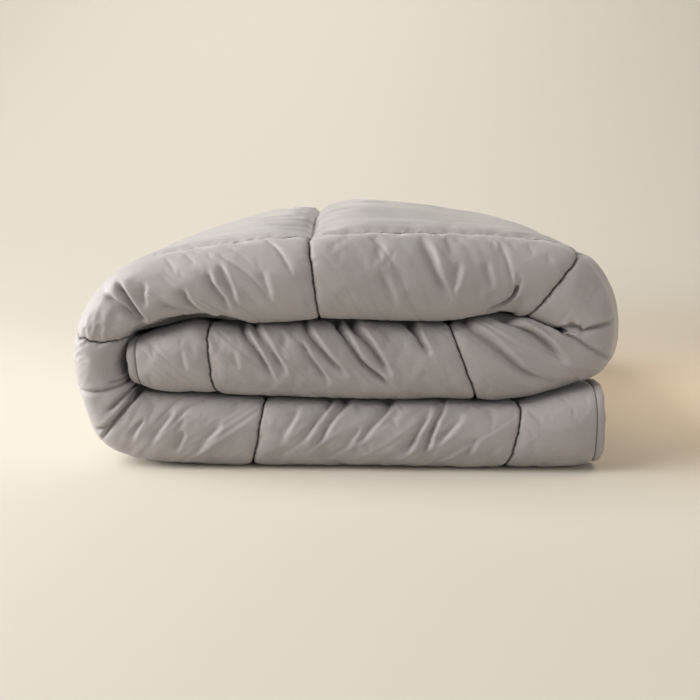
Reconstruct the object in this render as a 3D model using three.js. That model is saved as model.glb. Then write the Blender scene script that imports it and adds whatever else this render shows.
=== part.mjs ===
// A quilted, filled comforter, folded in half along its length with the fold to the front,
// and then folded in three across its width like a letter. Seen from the front, the doubled
// strip starts inside the pile, runs right as the middle roll, turns up round the right fold,
// runs left as the top roll, turns down round the tall left fold, and ends as the bottom roll.
//
// Frame: millimetres, +X right, +Y from the front towards the back, +Z up. The origin is at
// the middle of the footprint, on the surface that the comforter lies on.

import * as THREE from 'three';

// The comforter laid flat.
const LENGTH = 2000; // along the strip
const WIDTH = 1500; // across the strip, halved by the front fold
const BORDER = 100; // from the outermost stitching to the edge, all round
const BOXES_LONG = 6; // quilted boxes along the length
const BOXES_WIDE = 5; // quilted boxes across the width
const BOX_LENGTH = (LENGTH - 2 * BORDER) / BOXES_LONG;
const BOX_WIDTH = (WIDTH - 2 * BORDER) / BOXES_WIDE;

// How it is folded.
const FRONT_ROUND = 50; // depth of the rounded front of the doubled strip
const FRONT_ARC = 86; // cloth from the middle of that front to where the strip is flat
const FRONT_POWER = 2.8; // 2 is an ellipse, and more is squarer
const ROLL_GAP = 3; // between two rolls that lie on each other
const LAYER_GAP = 2; // between the two layers of the doubled strip
const FOLD_DEPTH = 47; // how far back from the front those two layers part
const BACK_OFFSET = 6; // the upper layer of the strip reaches this much past its middle

// How it is filled: a share of 1 is the full thickness of a layer.
const STITCH_SHARE = 0.35; // along the stitching
const FRONT_STITCH_SHARE = 0.88; // where the cloth is drawn tight round the front
const EDGE_SHARE = 0.17; // at the sewn edge
const PUFF_REACH = 62; // from the stitching to where a box is full
const FRONT_PUFF_REACH = 24; // the same round the front
const TIGHT_FROM = 100; // the cloth is tight up to here from the middle of the front
const TIGHT_TO = 210; // and loose from here
const EDGE_REACH = 45; // from the sewn edge to where the border is full
const END_SEAT = 0.15; // at each end, in front, the edge lies this far into a layer
const END_REACH = 110; // from an end to where both faces are drawn in alike
const CROWN = 34; // how far the top swells above its front edge
const CROWN_FRONT = 45; // how far back from the front the swelling starts
const CROWN_MIDDLE = 15; // where along X the top is highest
const CROWN_HALF_WIDTH = 330;
const CROWN_LOW = 232; // the swelling starts at this height
const CROWN_HIGH = 285; // and is complete at this one

// The piping sewn into the edge.
const PIPING_GAP = 0.6; // clear of the cloth
const PIPING_WIDTH = 11;
const PIPING_BULGE = 0.6; // thicker than the sewn edge, on each face
const PIPING_CORNER = 1.2; // how far the corners are drawn out

// The crease between the top and the middle roll, from the left fold to the right one.
const UPPER_CREASE = [
  { x: -268, z: 168 },
  { x: -236, z: 174 },
  { x: -190, z: 185 },
  { x: -140, z: 182 },
  { x: -80, z: 184 },
  { x: -20, z: 188 },
  { x: 60, z: 185 },
  { x: 125, z: 184 },
  { x: 165, z: 190 },
  { x: 198, z: 196 },
  { x: 232, z: 188 },
  { x: 268, z: 174 },
];

// The crease between the middle and the bottom roll.
const LOWER_CREASE = [
  { x: -262, z: 98 },
  { x: -230, z: 93 },
  { x: -185, z: 92 },
  { x: -110, z: 88 },
  { x: -20, z: 85 },
  { x: 60, z: 83 },
  { x: 125, z: 85 },
  { x: 185, z: 83 },
  { x: 230, z: 86 },
  { x: 268, z: 96 },
  { x: 300, z: 107 },
];

// The outline of the pile, from the lower crease up round the right fold, over the top, and
// down round the left fold to the floor.
const OUTLINE = [
  { x: 333, z: 127 },
  { x: 346, z: 171 },
  { x: 333, z: 227 },
  { x: 291, z: 273 },
  { x: 226, z: 287 },
  { x: 120, z: 293 },
  { x: 0, z: 293 },
  { x: -120, z: 286 },
  { x: -215, z: 274 },
  { x: -278, z: 256 },
  { x: -318, z: 224 },
  { x: -346, z: 180 },
  { x: -352, z: 130 },
  { x: -340, z: 72 },
  { x: -312, z: 27 },
  { x: -262, z: 5 },
  { x: -205, z: 0 },
];
const BOTTOM_END = 312; // where the bottom roll ends, along X

// The inside of the left fold, round the end of the middle roll.
const LEFT_INSIDE = [
  { x: -279, z: 150 },
  { x: -279, z: 124 },
];

// Where each line of stitching across the strip lies: its distance along the flat cloth, then
// along the inner and the outer face of the folded strip. front is how far the front of the
// strip is set back there.
const RIBS = [
  { flat: 0, inner: 10, outer: 10, front: 14 },
  { flat: BORDER, inner: 98, outer: 100, front: 12 },
  { flat: BORDER + BOX_LENGTH, inner: 401, outer: 429, front: 8 },
  { flat: BORDER + 2 * BOX_LENGTH, inner: 592, outer: 773, front: 16 },
  { flat: BORDER + 3 * BOX_LENGTH, inner: 852, outer: 1112, front: 0 },
  { flat: BORDER + 4 * BOX_LENGTH, inner: 1097, outer: 1460, front: 24 },
  { flat: BORDER + 5 * BOX_LENGTH, inner: 1332, outer: 1814, front: 6 },
  { flat: BORDER + 6 * BOX_LENGTH, inner: 1655, outer: 2134, front: -4 },
  { flat: LENGTH, inner: 1751, outer: 2245, front: -6 },
];

// Where the mesh lines run inside a box, as distances from the stitching.
const BOX_LINES = [0, 18, 62];
const EDGE_LINES = [0, 3, 14, 38, 75];
const FRONT_LINES = 5; // steps from the middle of the front to where the strip is flat
const CURVE_STEPS = 12; // steps between two points of an outline

const clamp = THREE.MathUtils.clamp;

// A smooth line through the given points, as a list of points close together.
function smooth(points) {
  const curve = new THREE.SplineCurve(points.map((p) => new THREE.Vector2(p.x, p.z)));
  return curve.getPoints(CURVE_STEPS * (points.length - 1));
}

function shifted(line, dz) {
  return line.map((p) => new THREE.Vector2(p.x, p.y + dz));
}

// A line of points with the distance along it to each.
function measured(points) {
  const along = [0];
  for (let i = 1; i < points.length; i++) {
    along.push(along[i - 1] + points[i].distanceTo(points[i - 1]));
  }
  return { points, along };
}

function pointAt(line, distance) {
  const { points, along } = line;
  let i = 1;
  while (i < along.length - 1 && along[i] < distance) i++;
  const share = clamp((distance - along[i - 1]) / (along[i] - along[i - 1]), 0, 1);
  return points[i - 1].clone().lerp(points[i], share);
}

// The two faces of the folded strip, seen from the front, each from the strip's first end.
const upper = smooth(UPPER_CREASE);
const lower = smooth(LOWER_CREASE);
const rightTip = new THREE.Vector2(upper.at(-1).x + ROLL_GAP / 2, upper.at(-1).y);
const aroundEnd = smooth([
  { x: upper[0].x, z: upper[0].y + ROLL_GAP / 2 },
  ...LEFT_INSIDE,
  { x: lower[0].x, z: lower[0].y - ROLL_GAP / 2 },
]);
const aroundPile = smooth([LOWER_CREASE.at(-1), ...OUTLINE]);
const innerFace = measured([
  ...shifted(upper, -ROLL_GAP / 2),
  rightTip,
  ...shifted(upper, ROLL_GAP / 2).reverse(),
  ...aroundEnd.slice(1, -1),
  ...shifted(lower, -ROLL_GAP / 2),
  new THREE.Vector2(BOTTOM_END, 112),
]);
const outerFace = measured([
  ...shifted(lower, ROLL_GAP / 2).slice(0, -1),
  ...aroundPile,
  new THREE.Vector2(BOTTOM_END, 0),
]);

// A curve through the ribs' values that never turns back, by the Fritsch-Carlson rule.
function monotone(xs, ys) {
  const slopes = xs.slice(1).map((x, i) => (ys[i + 1] - ys[i]) / (x - xs[i]));
  const tangents = xs.map((_, i) => {
    if (i === 0) return slopes[0];
    if (i === xs.length - 1) return slopes.at(-1);
    const [a, b] = [slopes[i - 1], slopes[i]];
    return a * b <= 0 ? 0 : (2 * a * b) / (a + b);
  });
  return (x) => {
    let i = 0;
    while (i < xs.length - 2 && x > xs[i + 1]) i++;
    const step = xs[i + 1] - xs[i];
    const t = (x - xs[i]) / step;
    const rise = (3 - 2 * t) * t * t;
    const start = t * (1 - t) * (1 - t);
    const end = t * t * (t - 1);
    return ys[i] + (ys[i + 1] - ys[i]) * rise + step * (tangents[i] * start + tangents[i + 1] * end);
  };
}

const ribFlat = RIBS.map((r) => r.flat);
const innerDistance = monotone(ribFlat, RIBS.map((r) => r.inner));
const outerDistance = monotone(ribFlat, RIBS.map((r) => r.outer));
const frontSetback = monotone(ribFlat, RIBS.map((r) => r.front));

// How far the top has swollen above the outline, at a point of it and a depth from the front.
function crownAt(point, depth) {
  const across = clamp(1 - ((point.x - CROWN_MIDDLE) / CROWN_HALF_WIDTH) ** 2, 0, 1);
  const high = THREE.MathUtils.smoothstep(point.y, CROWN_LOW, CROWN_HIGH);
  const rises = THREE.MathUtils.smoothstep(depth, CROWN_FRONT, 260);
  const falls = THREE.MathUtils.smoothstep(depth, 480, 720);
  return CROWN * across * high * rises * (1 - falls);
}

// How full a layer is at a distance from stitching or an edge: steep at first, then level.
function fullness(distance, reach) {
  return Math.sqrt(1 - (1 - clamp(distance / reach, 0, 1)) ** 2);
}

function toStitching(along, border, box, total) {
  const t = along - border;
  if (t <= 0) return -t;
  if (along >= total - border) return along - (total - border);
  const inBox = t % box;
  return Math.min(inBox, box - inBox);
}

// The filling's thickness at a place, as a share of the full one.
function share(u, v) {
  const across = v + WIDTH / 2;
  const loose = THREE.MathUtils.smoothstep(Math.abs(v), TIGHT_FROM, TIGHT_TO);
  const least = THREE.MathUtils.lerp(FRONT_STITCH_SHARE, STITCH_SHARE, loose);
  const reach = THREE.MathUtils.lerp(FRONT_PUFF_REACH, PUFF_REACH, loose);
  const puff =
    fullness(toStitching(u, BORDER, BOX_LENGTH, LENGTH), reach) *
    fullness(toStitching(across, BORDER, BOX_WIDTH, WIDTH), reach);
  const edge =
    fullness(Math.min(u, LENGTH - u), EDGE_REACH) *
    fullness(Math.min(across, WIDTH - across), EDGE_REACH);
  return (least + (1 - least) * puff) * (EDGE_SHARE + (1 - EDGE_SHARE) * edge);
}

// A point of the folded strip: level runs from -1 on its inner face to 1 on its outer face.
function inStrip(u, level, depth) {
  const inner = pointAt(innerFace, innerDistance(u));
  const outer = pointAt(outerFace, outerDistance(u));
  outer.y += crownAt(outer, depth);
  const p = inner.lerp(outer, (level + 1) / 2);
  return new THREE.Vector3(p.x, depth + frontSetback(u), p.y);
}

function stripThickness(u) {
  return pointAt(innerFace, innerDistance(u)).distanceTo(pointAt(outerFace, outerDistance(u)));
}

// The cloth's outer face, which the fold leaves on the outside of both layers.
function outerSkin(u, v) {
  const bend = Math.min(Math.abs(v) / FRONT_ARC, 1) * (Math.PI / 2);
  const level = Math.sin(bend) ** (2 / FRONT_POWER);
  const nose = FRONT_ROUND * (1 - Math.cos(bend) ** (2 / FRONT_POWER));
  const depth = nose + Math.max(Math.abs(v) - FRONT_ARC, 0);
  return { level: Math.sign(v) * level, depth };
}

// The cloth's inner face, where the two layers lie on each other.
function innerSkin(u, v) {
  const bend = Math.min(Math.abs(v) / FRONT_ARC, 1) * (Math.PI / 2);
  const level = (Math.sin(bend) * LAYER_GAP) / stripThickness(u);
  const back = FRONT_ROUND + WIDTH / 2 - FRONT_ARC;
  const flat = clamp((Math.abs(v) - FRONT_ARC) / (WIDTH / 2 - FRONT_ARC), 0, 1);
  const depth = FOLD_DEPTH - (LAYER_GAP / 2) * Math.cos(bend) + (back - FOLD_DEPTH) * flat;
  return { level: Math.sign(v) * level, depth };
}

function skinPoint(u, v, skin) {
  const { level, depth } = skin(u, v);
  const p = inStrip(u, level, depth);
  p.y += (BACK_OFFSET * v) / (WIDTH / 2);
  return p;
}

// The two faces of the filled cloth, and the place in it that both are drawn towards.
function layer(u, v) {
  const outer = skinPoint(u, v, outerSkin);
  const inner = skinPoint(u, v, innerSkin);
  const fromEnd = THREE.MathUtils.smoothstep(Math.min(u, LENGTH - u), 0, END_REACH);
  const fromFront = THREE.MathUtils.smoothstep(Math.abs(v), FRONT_ARC, TIGHT_TO);
  const seat = THREE.MathUtils.lerp(END_SEAT, 0.5, Math.max(fromEnd, fromFront));
  const middle = outer.clone().lerp(inner, seat);
  const full = share(u, v);
  return {
    outer: middle.clone().lerp(outer, full),
    inner: middle.clone().lerp(inner, full),
    middle,
  };
}

// Where the mesh lines run, along one direction of the flat cloth.
function meshLines(total, boxes, box, extra) {
  const lines = [...EDGE_LINES, ...EDGE_LINES.map((d) => total - d)];
  for (let i = 0; i <= boxes; i++) {
    const stitching = BORDER + i * box;
    for (const d of BOX_LINES) {
      if (i < boxes) lines.push(stitching + d);
      if (i > 0) lines.push(stitching - d);
    }
    if (i < boxes) lines.push(stitching + box / 2);
  }
  lines.push(...extra);
  lines.sort((a, b) => a - b);
  return lines.filter((d, i) => i === 0 || d - lines[i - 1] > 1);
}

function foldLines() {
  const rightFold = BORDER + BOX_LENGTH;
  const leftFold = BORDER + 4 * BOX_LENGTH;
  const lines = [];
  for (const share of [0.34, 0.42, 0.58, 0.66, 0.74]) lines.push(rightFold + share * BOX_LENGTH);
  for (const share of [0.3, 0.4, 0.6, 0.7]) lines.push(leftFold + share * BOX_LENGTH);
  for (const share of [0.6, 0.7]) lines.push(leftFold - (1 - share) * BOX_LENGTH);
  return lines;
}

const uLines = meshLines(LENGTH, BOXES_LONG, BOX_LENGTH, foldLines());
const frontLines = [];
for (let i = 0; i <= FRONT_LINES; i++) {
  const v = (FRONT_ARC * i) / FRONT_LINES;
  frontLines.push(WIDTH / 2 + v, WIDTH / 2 - v);
}
const vLines = meshLines(WIDTH, BOXES_WIDE, BOX_WIDTH, frontLines)
  .filter((d) => Math.abs(d - WIDTH / 2) >= FRONT_ARC - 1 || frontLines.includes(d))
  .map((d) => d - WIDTH / 2);

function geometryOf(vertices, triangles) {
  const geometry = new THREE.BufferGeometry();
  const position = new Float32Array(vertices.flatMap((p) => [p.x, p.y, p.z]));
  geometry.setAttribute('position', new THREE.BufferAttribute(position, 3));
  geometry.setIndex(triangles);
  geometry.computeVertexNormals();
  return geometry;
}

// The filled cloth: a sheet of points for each face, joined round the edge.
function comforterGeometry() {
  const grid = uLines.map((u) => vLines.map((v) => layer(u, v)));
  const rows = uLines.length;
  const columns = vLines.length;
  const outerAt = (i, j) => i * columns + j;
  const innerAt = (i, j) => rows * columns + i * columns + j;
  const vertices = [];
  for (const row of grid) for (const cell of row) vertices.push(cell.outer);
  for (const row of grid) for (const cell of row) vertices.push(cell.inner);
  const triangles = [];
  const quad = (a, b, c, d) => triangles.push(a, c, b, a, d, c);
  for (let i = 0; i + 1 < rows; i++) {
    for (let j = 0; j + 1 < columns; j++) {
      quad(outerAt(i, j), outerAt(i + 1, j), outerAt(i + 1, j + 1), outerAt(i, j + 1));
      quad(innerAt(i, j), innerAt(i, j + 1), innerAt(i + 1, j + 1), innerAt(i + 1, j));
    }
  }
  const last = { i: rows - 1, j: columns - 1 };
  for (let i = 0; i < last.i; i++) {
    quad(outerAt(i + 1, 0), outerAt(i, 0), innerAt(i, 0), innerAt(i + 1, 0));
    quad(outerAt(i, last.j), outerAt(i + 1, last.j), innerAt(i + 1, last.j), innerAt(i, last.j));
  }
  for (let j = 0; j < last.j; j++) {
    quad(outerAt(0, j), outerAt(0, j + 1), innerAt(0, j + 1), innerAt(0, j));
    quad(outerAt(last.i, j + 1), outerAt(last.i, j), innerAt(last.i, j), innerAt(last.i, j + 1));
  }
  return geometryOf(vertices, triangles);
}

// The places round the edge, with the way out of the cloth at each.
function edgePlaces() {
  const half = WIDTH / 2;
  const places = [];
  for (const u of uLines.slice(0, -1)) places.push([u, -half]);
  for (const v of vLines.slice(0, -1)) places.push([LENGTH, v]);
  for (const u of [...uLines].reverse().slice(0, -1)) places.push([u, half]);
  for (const v of [...vLines].reverse().slice(0, -1)) places.push([0, v]);
  return places;
}

// The piping: a cord-filled strip sewn into the edge, all the way round.
function pipingGeometry() {
  const inward = 12;
  const rings = edgePlaces().map(([u, v]) => {
    const atEnd = u === 0 || u === LENGTH;
    const atSide = Math.abs(v) === WIDTH / 2;
    const edge = layer(u, v);
    const insideU = atEnd ? clamp(u, inward, LENGTH - inward) : u;
    const insideV = atSide ? v - Math.sign(v) * inward : v;
    const out = edge.middle.clone().sub(layer(insideU, insideV).middle).normalize();
    const up = edge.outer.clone().sub(edge.inner).normalize();
    const reach = atEnd && atSide ? PIPING_CORNER : 1;
    const place = (from, distance, rise) =>
      from.clone().addScaledVector(out, distance * reach).addScaledVector(up, rise);
    return [
      place(edge.inner, PIPING_GAP * Math.SQRT2, 0),
      place(edge.inner, PIPING_WIDTH * 0.35, -PIPING_BULGE),
      place(edge.inner, PIPING_WIDTH * 0.8, PIPING_BULGE),
      place(edge.middle, PIPING_WIDTH, 0),
      place(edge.outer, PIPING_WIDTH * 0.8, -PIPING_BULGE),
      place(edge.outer, PIPING_WIDTH * 0.35, PIPING_BULGE),
      place(edge.outer, PIPING_GAP * Math.SQRT2, 0),
    ];
  });
  const sides = rings[0].length;
  const triangles = [];
  for (let i = 0; i < rings.length; i++) {
    const next = ((i + 1) % rings.length) * sides;
    for (let k = 0; k < sides; k++) {
      const a = i * sides + k;
      const b = i * sides + ((k + 1) % sides);
      const c = next + ((k + 1) % sides);
      const d = next + k;
      triangles.push(a, b, c, a, c, d);
    }
  }
  return geometryOf(rings.flat(), triangles);
}

const cloth = new THREE.MeshStandardMaterial({ color: 0xa8a29d, roughness: 0.7, metalness: 0 });
const trim = new THREE.MeshStandardMaterial({ color: 0x9f9994, roughness: 0.7, metalness: 0 });

const comforter = new THREE.Mesh(comforterGeometry(), cloth);
comforter.name = 'comforter';
const piping = new THREE.Mesh(pipingGeometry(), trim);
piping.name = 'edge_piping';

// The pile is moved so that the middle of its footprint is at the origin.
const pile = new THREE.Group();
pile.add(comforter, piping);
const bounds = new THREE.Box3().setFromObject(pile);
const middle = bounds.getCenter(new THREE.Vector3());
pile.position.set(-middle.x, -middle.y, -bounds.min.z);

export default pile;
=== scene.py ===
import math

import bpy
import numpy as np
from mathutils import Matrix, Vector


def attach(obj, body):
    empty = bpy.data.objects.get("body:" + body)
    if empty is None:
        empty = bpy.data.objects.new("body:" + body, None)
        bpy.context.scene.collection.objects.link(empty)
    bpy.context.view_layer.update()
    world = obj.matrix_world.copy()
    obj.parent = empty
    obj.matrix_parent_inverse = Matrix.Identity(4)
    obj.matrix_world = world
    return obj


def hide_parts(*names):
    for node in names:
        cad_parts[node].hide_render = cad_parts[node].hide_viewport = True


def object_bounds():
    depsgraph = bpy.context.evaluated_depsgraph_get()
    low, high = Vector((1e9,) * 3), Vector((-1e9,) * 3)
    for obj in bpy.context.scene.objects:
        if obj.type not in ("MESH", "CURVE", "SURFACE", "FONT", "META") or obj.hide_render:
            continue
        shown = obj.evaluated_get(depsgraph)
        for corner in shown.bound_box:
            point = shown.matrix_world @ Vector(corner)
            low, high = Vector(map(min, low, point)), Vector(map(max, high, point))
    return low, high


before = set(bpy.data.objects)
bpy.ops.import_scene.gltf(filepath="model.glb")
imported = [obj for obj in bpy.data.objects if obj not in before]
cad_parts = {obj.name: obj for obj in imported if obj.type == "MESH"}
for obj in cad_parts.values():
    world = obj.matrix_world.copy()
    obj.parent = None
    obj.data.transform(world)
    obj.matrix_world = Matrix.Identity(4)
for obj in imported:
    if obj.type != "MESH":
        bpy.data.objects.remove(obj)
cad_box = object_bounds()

# The floor and the wall behind it
# One sheet of cream paper, which lies flat under the blanket and sweeps up behind it, so that
# no line shows where floor becomes wall. It is part of the stage.
PAPER_FRONT = -3.2
PAPER_BEND = 0.9  # where the paper starts to rise
PAPER_RADIUS = 2.6
PAPER_STEPS = 24
PAPER_TOP = 4.2
PAPER_HALF_WIDTH = 4.5
PAPER_CREAM = (0.655, 0.620, 0.545)
PAPER_WARM_SHADE = (0.62, 0.55, 0.45)  # painted warm shade: the paper is painted darker and warmer on the right, beside the blanket, where its shadow lies
WARM_SHADE_RIGHT = (0.15, 0.65)  # the painted shade grows from the first to the second
WARM_SHADE_MIDDLE = 0.5
WARM_SHADE_REACH = (0.3, 1.3)  # to the front and the back of the middle, where it ends


def mesh_piece(name, points, faces, finish, flat_places=None):
    """A smooth-shaded object. Each point's place on the flat cloth, in metres, is its UV."""
    mesh = bpy.data.meshes.new(name)
    mesh.from_pydata([tuple(p) for p in points], [], faces)
    if flat_places is not None:
        corners = np.zeros(len(mesh.loops), dtype=np.int32)
        mesh.loops.foreach_get("vertex_index", corners)
        uv = mesh.uv_layers.new(name="flat_cloth")
        uv.data.foreach_set("uv", np.asarray(flat_places)[corners].astype(np.float32).ravel())
    mesh.shade_smooth()
    mesh.materials.append(finish)
    mesh.update()
    piece = bpy.data.objects.new(name, mesh)
    bpy.context.scene.collection.objects.link(piece)
    return piece


class Finish:
    """A material whose nodes are added one by one, with expressions on what varies."""

    def __init__(self, name, roughness, sheen=0.0, sheen_roughness=0.5):
        self.material = bpy.data.materials.new(name)
        self.material.use_nodes = True
        self.nodes = self.material.node_tree.nodes
        self.links = self.material.node_tree.links
        self.shader = self.nodes["Principled BSDF"]
        self.shader.inputs["Roughness"].default_value = roughness
        self.shader.inputs["Sheen Weight"].default_value = sheen
        self.shader.inputs["Sheen Roughness"].default_value = sheen_roughness
        self.shader.inputs["Specular IOR Level"].default_value = 0.25

    def add(self, kind, settings, inputs, output=0):
        """One node: its settings first, then the values or links of its sockets."""
        node = self.nodes.new(kind)
        for name, value in settings.items():
            setattr(node, name, value)
        for name, value in inputs.items():
            if isinstance(value, Varying):
                self.links.new(value.socket, node.inputs[name])
            else:
                node.inputs[name].default_value = value
        return Varying(self, node.outputs[output])

    def feed(self, name, varying):
        self.links.new(varying.socket, self.shader.inputs[name])


class Varying:
    """What a socket gives over a surface. Python's operators on it add Math nodes."""

    def __init__(self, finish, socket):
        self.finish = finish
        self.socket = socket

    def maths(self, operation, first, second):
        settings = {"operation": operation}
        return self.finish.add("ShaderNodeMath", settings, {0: first, 1: second})

    def __add__(self, other):
        return self.maths("ADD", self, other)

    __radd__ = __add__

    def __mul__(self, other):
        return self.maths("MULTIPLY", self, other)

    __rmul__ = __mul__

    def __sub__(self, other):
        return self.maths("SUBTRACT", self, other)

    def __rsub__(self, other):
        return self.maths("SUBTRACT", other, self)

    def __truediv__(self, other):
        return self.maths("DIVIDE", self, other)

    def __rtruediv__(self, other):
        return self.maths("DIVIDE", other, self)

    def __abs__(self):
        return self.maths("ABSOLUTE", self, 0)


def between(value, low, high):
    """0 where a varying value is at or below low, 1 where it is at or above high."""
    settings = {"interpolation_type": "SMOOTHSTEP", "clamp": True}
    return value.finish.add("ShaderNodeMapRange", settings, {0: value, 1: low, 2: high, 3: 0, 4: 1})


paper = Finish("cream_paper", roughness=0.9)
place = paper.add("ShaderNodeTexCoord", {}, {}, "Object")
to_right = paper.add("ShaderNodeSeparateXYZ", {}, {0: place}, "X")
behind = paper.add("ShaderNodeSeparateXYZ", {}, {0: place}, "Y")
# Painted warm shade on the paper to the right of the blanket, where its shadow lies.
painted_warm_shade = between(to_right, *WARM_SHADE_RIGHT) * (1 - between(abs(behind - WARM_SHADE_MIDDLE), *WARM_SHADE_REACH))
mix = {"data_type": "RGBA", "blend_type": "MIX"}
inputs = {0: painted_warm_shade, 6: (*PAPER_CREAM, 1), 7: (*PAPER_WARM_SHADE, 1)}
paper.feed("Base Color", paper.add("ShaderNodeMix", mix, inputs, 2))
profile = [(PAPER_FRONT, 0.0)]
for step in range(PAPER_STEPS + 1):
    turn = math.radians(90 * step / PAPER_STEPS)
    rise = PAPER_RADIUS * (1 - math.cos(turn))
    profile.append((PAPER_BEND + PAPER_RADIUS * math.sin(turn), rise))
profile.append((PAPER_BEND + PAPER_RADIUS, PAPER_TOP))
paper_points = [(x, y, z) for y, z in profile for x in (-PAPER_HALF_WIDTH, PAPER_HALF_WIDTH)]
paper_faces = [(2 * i, 2 * i + 1, 2 * i + 3, 2 * i + 2) for i in range(len(profile) - 1)]
sweep = mesh_piece("paper_sweep", paper_points, paper_faces, paper.material)

# The light and the camera
# A large soft window-like light high on the left and a weak one below it, weak ones on the wall,
# from the front on the right and on the floor at the right, and a pale room all round. The
# camera is low, in front, and tilted a little down.
CAMERA_HEIGHT = 0.3628
CAMERA_BACK = 1.166  # from the front of the pile
CAMERA_RIGHT = 0.009
CAMERA_TILT = 10
CAMERA_LENS = 50
ROOM_LIGHT = (1.0, 0.975, 0.94)
ROOM_STRENGTH = 0.30
DAYLIGHT = (1.0, 0.98, 0.945)
WALL_LIGHT = (1.0, 0.98, 0.95)
WARM_LIGHT = (1.0, 0.80, 0.58)  # thrown back by what stands beyond the picture's right


def soft_light(name, place, target, size, power, colour, spread):
    """A rectangular light in watts that shines at a target within a spread in degrees."""
    light = bpy.data.lights.new(name, "AREA")
    light.shape = "RECTANGLE"
    light.size, light.size_y = size
    light.energy = power
    light.color = colour
    light.spread = math.radians(spread)
    lamp = bpy.data.objects.new(name, light)
    lamp.location = place
    lamp.rotation_euler = (Vector(target) - Vector(place)).to_track_quat("-Z", "Y").to_euler()
    bpy.context.scene.collection.objects.link(lamp)


soft_light("left_window", (-3.3, -0.5, 2.6), (0, 0, 0.15), (4.0, 3.2), 133, DAYLIGHT, 130)
soft_light("low_left", (-3.0, -0.1, 0.6), (-0.1, 0, 0.15), (1.4, 0.7), 12, DAYLIGHT, 70)
soft_light("front_right", (2.2, -2.1, 0.9), (0.2, 0, 0.2), (1.6, 0.9), 4.5, DAYLIGHT, 110)
soft_light("wall_panel", (-0.8, 0.6, 3.4), (0.9, 3.4, 1.9), (2.4, 1.2), 32, WALL_LIGHT, 120)
soft_light("right_fill", (1.1, 0.05, 1.2), (0.62, 0, 0), (0.5, 0.5), 1.1, WARM_LIGHT, 52)
world = bpy.data.worlds.new("room")
world.use_nodes = True
world.node_tree.nodes["Background"].inputs["Color"].default_value = (*ROOM_LIGHT, 1)
world.node_tree.nodes["Background"].inputs["Strength"].default_value = ROOM_STRENGTH
bpy.context.scene.world = world
bpy.context.scene.view_settings.view_transform = "Standard"

camera = bpy.data.cameras.new("camera")
camera.lens = CAMERA_LENS
camera.sensor_width = 36
camera_stand = bpy.data.objects.new("camera", camera)
camera_stand.location = (CAMERA_RIGHT, cad_box[0][1] - CAMERA_BACK, CAMERA_HEIGHT)
camera_stand.rotation_euler = (math.radians(90 - CAMERA_TILT), 0, 0)
bpy.context.scene.collection.objects.link(camera_stand)
bpy.context.scene.camera = camera_stand

# The filled cloth
# Two panels of fine brushed microfibre with a soft filling between them, stitched through in
# boxes. It is folded in half with the fold to the front, then in three across.
LENGTH = 2000.0
WIDTH = 1500.0
BORDER = 100.0  # outside the boxes
BOX_LENGTH = (LENGTH - 2 * BORDER) / 6
BOX_WIDTH = (WIDTH - 2 * BORDER) / 5
FRONT_ROUND = 50.0  # how deep the rounded front is
FRONT_ARC = 86.0  # of cloth, from the middle of the front to where it runs straight back
FRONT_POWER = 2.8  # 2 is an ellipse, and more is squarer
ROLL_GAP = 3.0  # between neighbouring rolls
LAYER_GAP = 2.0  # inside the half fold
FOLD_DEPTH = 47.0  # from the front to the inside of the half fold
BACK_OFFSET = 6.0  # between the open edges at the back
STITCH_SHARE = 0.62  # of the full thickness, along the stitching
FRONT_STITCH_SHARE = 0.84  # where the cloth is drawn tight round the front
TOP_STITCH_SHARE = 0.94  # on the first line of stitching behind the front
GATHERED = 26.0  # how far forward that line is drawn, in small gathers
GATHERED_FROM = 640.0  # along the cloth: none before here
GATHERED_FULL = 980.0
GATHERED_BACK = 640.0  # behind the front, where the cloth lies as it would again
EDGE_SHARE = 0.17
PUFF_REACH = 62.0  # how far from its stitching the cloth has its full thickness
FRONT_PUFF_REACH = 20.0
TIGHT_FROM = 100.0  # the tight front ends over this stretch
TIGHT_TO = 210.0
TOP_TIGHT_FROM = 150.0
TOP_TIGHT_TO = 300.0
EDGE_REACH = 45.0
END_SEAT = 0.15  # at its ends the thin edge lies near the outer face
END_REACH = 110.0
CROWN = [
    (-320, 0), (-250, 10), (-200, 18), (-130, 26), (-50, 33), (15, 36), (90, 33), (150, 27),
    (200, 22), (240, 18), (280, 11), (340, 0),
]  # how far the top swells, from left to right
CROWN_LOW = 232.0  # the swelling starts at this height
CROWN_HIGH = 285.0
CROWN_FRONT = 15.0  # and this far behind the front
CROWN_FULL = 260.0
CROWN_FALLS = 480.0
CROWN_BACK = 720.0
BULGE = 18.0  # of the right-hand fold, behind its front
BULGE_FRONT = 30.0
BULGE_FULL = 88.0
BULGE_FALLS = 620.0
BULGE_BACK = 780.0
BOTTOM_END = 312.0  # the free end of the bottom roll
PILE_MIDDLE = (-2.962, 374.915)  # of the folded cloth's footprint, in its own measures

# The lines between the rolls and the outline of the pile, seen from the front: X and Z.
UPPER_CREASE = [
    (-268, 168), (-236, 174), (-190, 185), (-140, 182), (-80, 184), (-20, 188), (60, 185),
    (125, 184), (165, 190), (198, 196), (232, 188), (268, 174),
]
LOWER_CREASE = [
    (-262, 98), (-230, 93), (-185, 92), (-110, 88), (-20, 85), (60, 83), (125, 85), (185, 83),
    (230, 86), (268, 96), (300, 107),
]
OUTLINE = [
    (332, 127), (341, 171), (328, 227), (289, 272), (226, 284), (120, 290), (0, 291),
    (-120, 283), (-215, 270), (-278, 254), (-314, 224), (-340, 180), (-345, 130), (-334, 72),
    (-312, 27), (-262, 5), (-205, 0),
]
LEFT_INSIDE = [(-279, 150), (-279, 124)]

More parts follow.
